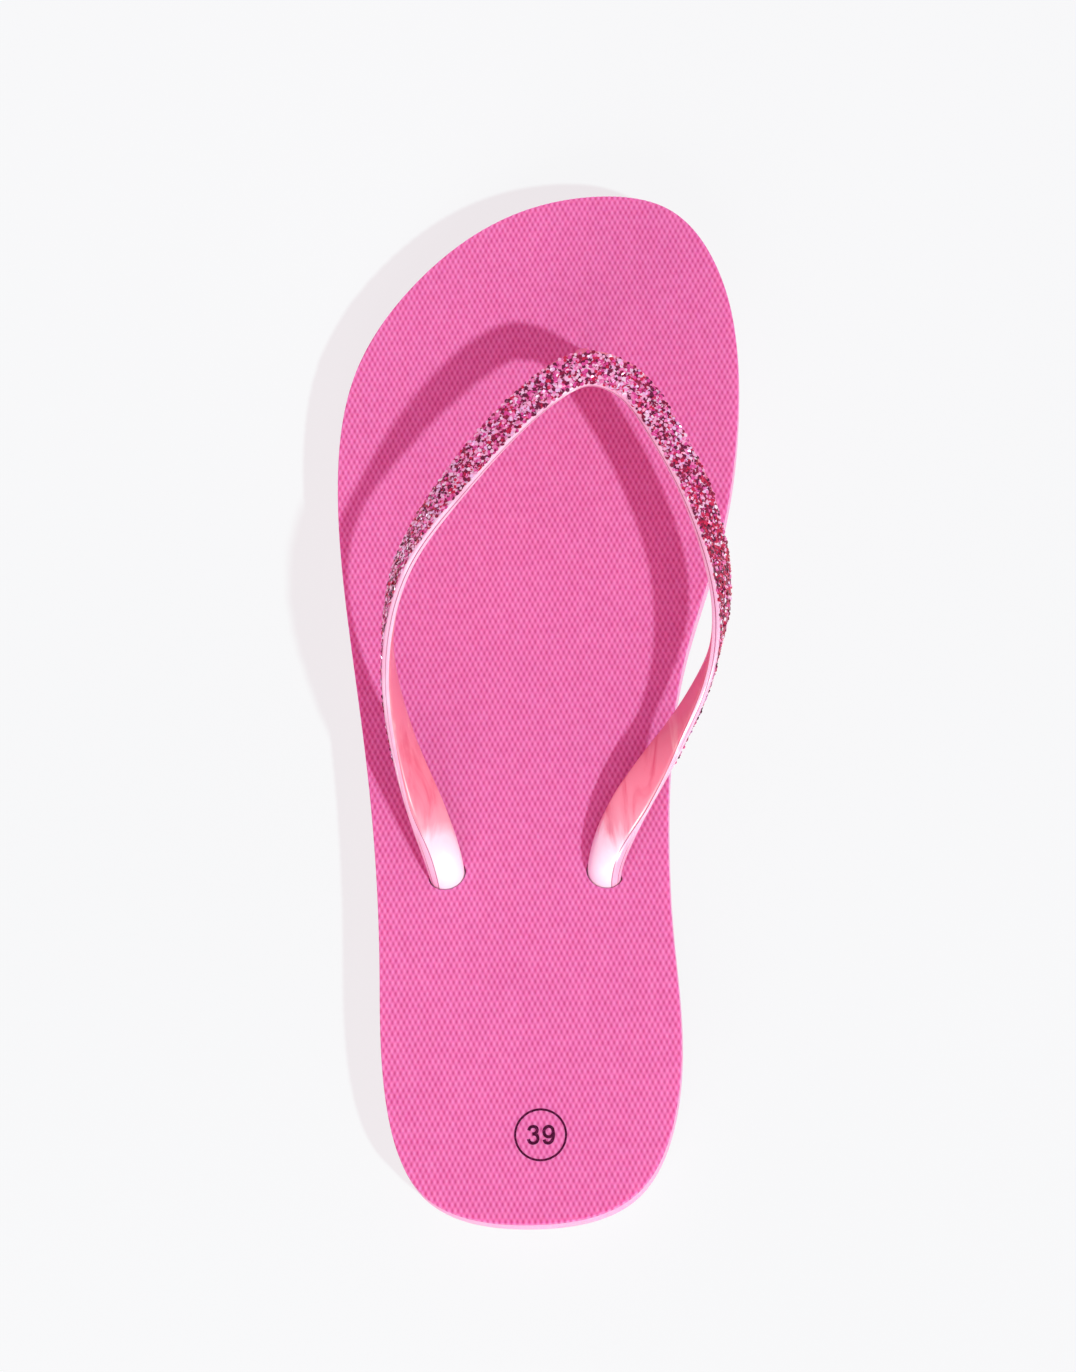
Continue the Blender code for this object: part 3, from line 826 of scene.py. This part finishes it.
def make_sole_base(holes):
    """The thick pale layer, with its bulged wall, tread, plug seats and leg holes."""
    profile = [(2.3, 0.0), (1.55, 0.25), (1.1, 0.9), (0.75, 2.0), (0.45, 3.6), (0.18, 5.6),
               (0.04, 7.6), (0.0, 9.0), (0.04, 10.6), (0.14, 11.8), (0.24, 12.4), (0.36, BASE_TOP)]
    rings = [[(x, y, z) for x, y in outline(inset, 24)] for inset, z in profile]
    base = loft("sole_base_foam", [rings], 40)
    boolean(base, loft("tread", tread_grooves(), 0), "DIFFERENCE")
    seats = [[[(x, y, z) for x, y in circle(centre, PLUG_SEAT_RADIUS + grow, 64)]
              for grow, z in ((0.3, -1.0), (0.3, 0.0), (0.0, 0.35), (0.0, PLUG_SEAT_TOP))]
             for centre in PLUG_CENTRES.values()]
    boolean(base, loft("seats", seats, 0), "DIFFERENCE")
    shafts = [[[(x, y, z) for x, y in bottom] for z in (2.0, TOP)] for top, bottom in holes]
    boolean(base, loft("shafts", shafts, 0), "DIFFERENCE")
    shade(base, SMOOTH_ANGLE)
    base.data.materials.append(wall_foam())
    return base


# ---- glitter ----------------------------------------------------------------------------------
def inlay_edge(width):
    """Half the inlay's width."""
    return width / 2 - RIM - 0.12


def inlay_section(width, share):
    """The inlay's section, the same at every share of the way, with a domed top."""
    edge = inlay_edge(width)
    floor, top = HALF_THICK - 0.55, HALF_THICK + 0.05
    return whole_section([(0.0, floor), (edge, floor), (edge, top - 0.1), (edge - 0.35, top + 0.08),
                          (edge * 0.66, top + 0.18), (edge * 0.33, top + 0.24), (0.0, top + 0.26)])


def inlay_height(u, width):
    """Height of the inlay's top over the strap's middle, at a place across it."""
    return HALF_THICK + 0.31 - 0.22 * min(abs(u) / inlay_edge(width), 1.2) ** 2


def make_inlay(frames):
    """The glitter's cast layer, along its share of the strap."""
    start, stop = INLAY_ENDS
    part = [k for k, share in enumerate(frames[4]) if start <= share <= stop]
    cut = [column[part[0]:part[-1] + 1] for column in frames]
    inlay = loft("glitter_inlay_bed", [swept(cut, inlay_section)])
    inlay.data.materials.append(glitter_bed())
    return inlay


FLAKE_STEP = 0.56            # mean distance between flakes
FLAKE_COLUMNS = 7            # on each side of the strap's middle
FLAKE_RADIUS = (0.36, 0.60)
FLAKE_HALF_THICK = 0.035
FLAKE_LIFT = (-0.05, 0.16)   # over the inlay's top
FLAKE_TILT = 0.30            # spread of the tilts, in radians
FLAKE_OVERLAP = 0.38         # how far flakes reach out over the rim
FLAKE_ROLL = 0.10            # how far the flakes at the edges face outwards
RED_FLANK = (-34.0, 9.0)     # x where the reds begin to gather, and over what distance
RED_MOST = 0.8               # how far they take over there


def flake_shares(x):
    """Each colour's share at a place: the inner arm's flank carries more of the reds."""
    usual, red = np.array([shares for colour, *shares in FLAKES.values()]).T
    begins, over = RED_FLANK
    lean = min(max((begins - x) / over, 0.0), 1.0) * RED_MOST
    mixed = usual * (1 - lean) + red * lean
    return mixed / mixed.sum()


def strap_place(frames, share):
    """The strap's centre, ways across and outwards, and width at a share of its length."""
    centres, across, outwards, widths, shares = frames
    k = share * (len(shares) - 1)
    i, f = int(k), k - int(k)
    j = min(i + 1, len(shares) - 1)
    centre, side, out = (column[i] * (1 - f) + column[j] * f
                         for column in (centres, across, outwards))
    return centre, side / np.linalg.norm(side), out, widths[i]


def flake_points(middle, normal, a, radius, spin):
    """The two hexagons of one flake, turned by a spin in its own plane."""
    b = np.cross(normal, a)
    return [middle + normal * level + radius * (a * math.cos(turn) + b * math.sin(turn))
            for level in (-FLAKE_HALF_THICK, FLAKE_HALF_THICK)
            for turn in np.arange(6) * math.pi / 3 + spin]


def flake_faces(first):
    sides = [(n, (n + 1) % 6) for n in range(6)]
    return ([tuple(first + n for n in reversed(range(6))), tuple(first + 6 + n for n in range(6))]
            + [(first + n, first + m, first + 6 + m, first + 6 + n) for n, m in sides])


def make_flakes(frames):
    """Loose hexagonal flakes over the whole inlay, each tilted its own way."""
    length = np.linalg.norm(np.diff(frames[0], axis=0), axis=1).sum()
    start, stop = INLAY_ENDS
    rows = int((stop - start) * length / FLAKE_STEP)
    verts, faces, kinds = [], [], []
    for row in range(rows):
        for column in range(-FLAKE_COLUMNS, FLAKE_COLUMNS + 1):
            share = start + (row + rng.random()) / rows * (stop - start)
            u = (column + rng.random() - 0.5) * FLAKE_STEP
            tilt, heading = rng.normal(0, FLAKE_TILT), rng.random() * 2 * math.pi
            spin = rng.random()
            radius, lift = rng.uniform(*FLAKE_RADIUS), rng.uniform(*FLAKE_LIFT)
            pick = rng.random()
            centre, side, out, width = strap_place(frames, share)
            edge = width / 2 - RIM + FLAKE_OVERLAP
            if abs(u) > edge:
                continue
            out = out + side * FLAKE_ROLL * u / edge
            out /= np.linalg.norm(out)
            along = np.cross(out, side)
            middle = centre + side * u + out * (inlay_height(u, width) + lift)
            lean = side * math.cos(heading) + along * math.sin(heading)
            normal = out * math.cos(tilt) + lean * math.sin(tilt)
            a = np.cross(normal, along if abs(normal @ along) < 0.9 else side)
            faces += flake_faces(len(verts))
            verts += flake_points(middle, normal, a / np.linalg.norm(a), radius, spin)
            kind = int(np.searchsorted(np.cumsum(flake_shares(middle[0])), pick))
            kinds += [min(kind, len(FLAKES) - 1)] * 8
    flakes = make_object("glitter_flakes", verts, faces, 0)
    for name, (colour, *shares) in FLAKES.items():
        flakes.data.materials.append(flake_foil(name, colour))
    flakes.data.polygons.foreach_set("material_index", kinds)
    return flakes


# ---- printed mark -----------------------------------------------------------------------------
def laid_on(mesh, ground):
    """Splits a flat mesh finely and lays it on the surface under it, as a thin film."""
    bm = bmesh.new()
    bm.from_mesh(mesh)
    bmesh.ops.remove_doubles(bm, verts=bm.verts, dist=0.00001)
    bmesh.ops.triangulate(bm, faces=bm.faces)
    for _ in range(6):
        long = [e for e in bm.edges if e.calc_length() > FILM_EDGE * MM]
        if not long:
            break
        bmesh.ops.subdivide_edges(bm, edges=long, cuts=1)
        bmesh.ops.triangulate(bm, faces=bm.faces)
    for v in bm.verts:
        hit = ground.ray_cast(Vector((v.co.x, v.co.y, 2 * TOP * MM)), Vector((0, 0, -1)))[0]
        v.co.z = hit.z + FILM_LIFT * MM
    upper = bmesh.ops.extrude_face_region(bm, geom=list(bm.faces))["geom"]
    for item in upper:
        if isinstance(item, bmesh.types.BMVert):
            item.co.z += FILM_THICKNESS * MM
    bmesh.ops.recalc_face_normals(bm, faces=bm.faces)
    bm.to_mesh(mesh)
    bm.free()


# Each digit's strokes, by how far its middle lies to the right of the mark's. The points are
# from that middle: x to the reader's right, y up.
STROKES = {
    -1.75: [[(-1.02, 1.05), (-0.72, 1.72), (0.0, 1.97), (0.76, 1.70), (0.96, 1.08), (0.60, 0.42),
             (-0.20, 0.18)],
            [(-0.20, 0.18), (0.70, 0.02), (1.12, -0.75), (0.82, -1.66), (0.0, -1.97),
             (-0.80, -1.70), (-1.10, -1.00)]],
    1.90: [[(1.08, 0.72), (0.78, 1.62), (0.0, 1.97), (-0.80, 1.60), (-1.10, 0.72), (-0.80, -0.15),
            (0.0, -0.50), (0.78, -0.18), (1.08, 0.72)],
           [(1.08, 0.80), (1.14, 0.0), (0.92, -1.15), (0.42, -1.80), (-0.25, -1.97),
            (-0.85, -1.68), (-1.05, -1.15)]],
}
STROKE_HALF = 0.37


def ribbon(line, half):
    """A flat band of quads along a line, as points and faces."""
    line = np.asarray(line, float)
    along = np.gradient(line, axis=0)
    along /= np.linalg.norm(along, axis=1)[:, None]
    side = np.stack([-along[:, 1], along[:, 0]], axis=1) * half
    count = len(line)
    return (np.vstack([line - side, line + side]),
            [(k, k + 1, count + k + 1, count + k) for k in range(count - 1)])


def make_mark(footbed):
    """A printed ring with the plain size number in it, upright for the wearer."""
    ground = BVHTree.FromObject(footbed, bpy.context.evaluated_depsgraph_get())
    turn = np.linspace(0, 2 * math.pi, 121)
    bands = [ribbon(MARK_RADIUS * np.stack([np.cos(turn), np.sin(turn)], axis=1), MARK_LINE / 2)]
    for shift, strokes in STROKES.items():
        bands += [ribbon(evenly(stroke, 36) + (shift, 0), STROKE_HALF) for stroke in strokes]
    points, faces = [], []
    for band, quads in bands:
        faces += [[len(points) + k for k in quad] for quad in quads]
        points += [Vector((-x, -y)) for x, y in band]
    flat = delaunay_2d_cdt(points, [], faces, 1, 1e-3)
    verts = [(MARK_CENTRE[0] + x, MARK_CENTRE[1] + y, 0.0) for x, y in flat[0]]
    printed = [tuple(face) for face, bands_under in zip(flat[2], flat[5]) if bands_under]
    mark = make_object("size_mark", verts, printed, 0)
    laid_on(mark.data, ground)
    mark.data.materials.append(mark_ink())
    return mark


# ---- studio -----------------------------------------------------------------------------------
CAMERA_PLACE = Vector((-0.0532, 0.2392, 0.8563))
CAMERA_AIM = Vector((0.0, -0.001, 0.015))
FOCAL_SHARE = 3597 / 1372    # focal length over the picture's height
SENSOR = 36.0
STAGE_CENTRE = Vector((0, 0, 0.02))
TO_LIGHT = Vector((-0.73, 0.69, 1.0))
KEY_COLOUR = (0.64, 1.0, 0.90)
SOFTBOX_PLACE = Vector((0.25, 0.9, 0.55))
AMBIENT = (1.0, 0.475, 0.735, 1.0)
BACKDROP = (0.955, 0.95, 0.955, 1.0)
FLOOR_HALF = 4000            # millimetres


def facing(place, aim, up):
    """The turn of something at a place that looks at an aim, with an upwards hint."""
    ahead = (aim - place).normalized()
    right = ahead.cross(up).normalized()
    return Matrix((right, right.cross(ahead), -ahead)).transposed().to_4x4()


def add_light(name, kind, place, **settings):
    """A light at a place that shines on the middle of the stage."""
    lamp = bpy.data.lights.new(name, kind)
    for key, value in settings.items():
        setattr(lamp, key, value)
    made = bpy.data.objects.new(name, lamp)
    made.matrix_world = (Matrix.Translation(place)
                         @ facing(place, STAGE_CENTRE, Vector((0.01, 1, 0.02))))
    bpy.context.scene.collection.objects.link(made)


def make_camera():
    """The camera, at the photograph's viewing angle with the toes upwards."""
    scene = bpy.context.scene
    camera = bpy.data.cameras.new("camera")
    camera.sensor_width, camera.lens = SENSOR, SENSOR * FOCAL_SHARE
    holder = bpy.data.objects.new("camera", camera)
    holder.matrix_world = (Matrix.Translation(CAMERA_PLACE)
                           @ facing(CAMERA_PLACE, CAMERA_AIM, Vector((0, -1, 0))))
    scene.collection.objects.link(holder)
    scene.camera = holder


def make_world():
    """An even, warm surrounding light, behind which the camera sees a pale backdrop."""
    world = bpy.data.worlds.new("studio")
    world.use_nodes = True
    bpy.context.scene.world = world
    tree = world.node_tree
    ambient = tree.nodes["Background"]
    ambient.inputs["Color"].default_value = AMBIENT
    ambient.inputs["Strength"].default_value = 0.715
    seen = tree.nodes.new("ShaderNodeBackground")
    seen.inputs["Color"].default_value = BACKDROP
    path = tree.nodes.new("ShaderNodeLightPath")
    mix = tree.nodes.new("ShaderNodeMixShader")
    tree.links.new(path.outputs["Is Camera Ray"], mix.inputs[0])
    tree.links.new(ambient.outputs[0], mix.inputs[1])
    tree.links.new(seen.outputs[0], mix.inputs[2])
    tree.links.new(mix.outputs[0], tree.nodes["World Output"].inputs["Surface"])


def make_studio():
    make_camera()
    make_world()
    add_light("key", "SUN", STAGE_CENTRE + TO_LIGHT, energy=2.57, color=KEY_COLOUR,
              angle=math.radians(2.6))
    add_light("heel_softbox", "AREA", SOFTBOX_PLACE, energy=3.0, shape="RECTANGLE", size=0.9,
              size_y=0.5)
    bpy.context.scene.view_settings.view_transform = "Standard"
    corners = [(x * FLOOR_HALF, y * FLOOR_HALF, 0) for x, y in ((-1, -1), (1, -1), (1, 1), (-1, 1))]
    floor = make_object("studio_floor", corners, [(0, 1, 2, 3)], 0)
    floor.data.materials.append(floor_finish())


# ---- assembly ---------------------------------------------------------------------------------
def stand_for(piece, slot, *nodes):
    """Puts a piece on its body, in place of some CAD nodes; the slot is not used."""
    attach(piece, BODY)
    if nodes:
        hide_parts(*nodes)


def main():
    make_studio()
    strap, frames, rings = make_strap()
    holes = leg_holes(rings)
    footbed = make_footbed(holes)
    base = make_sole_base(holes)
    inlay = make_inlay(frames)
    flakes = make_flakes(frames)
    mark = make_mark(footbed)

    stand_for(footbed, "hot_pink_foam", "footbed")
    stand_for(base, "pale_pink_foam", "sole_base")
    stand_for(strap, "pearl_pvc", "strap")
    stand_for(inlay, "glitter", "glitter_inlay")
    stand_for(flakes, "glitter")
    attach(mark, BODY)

    plug_pvc = pearl("pearl_pvc_plug", (0.74, 0.20, 0.28), (0.90, 0.42, 0.48),
                     (0.97, 0.70, 0.72), 0.3)
    for node in ("toe_plug", "rear_outer_plug", "rear_inner_plug"):
        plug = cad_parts[node]
        plug.data.materials.clear()
        plug.data.materials.append(plug_pvc)


main()
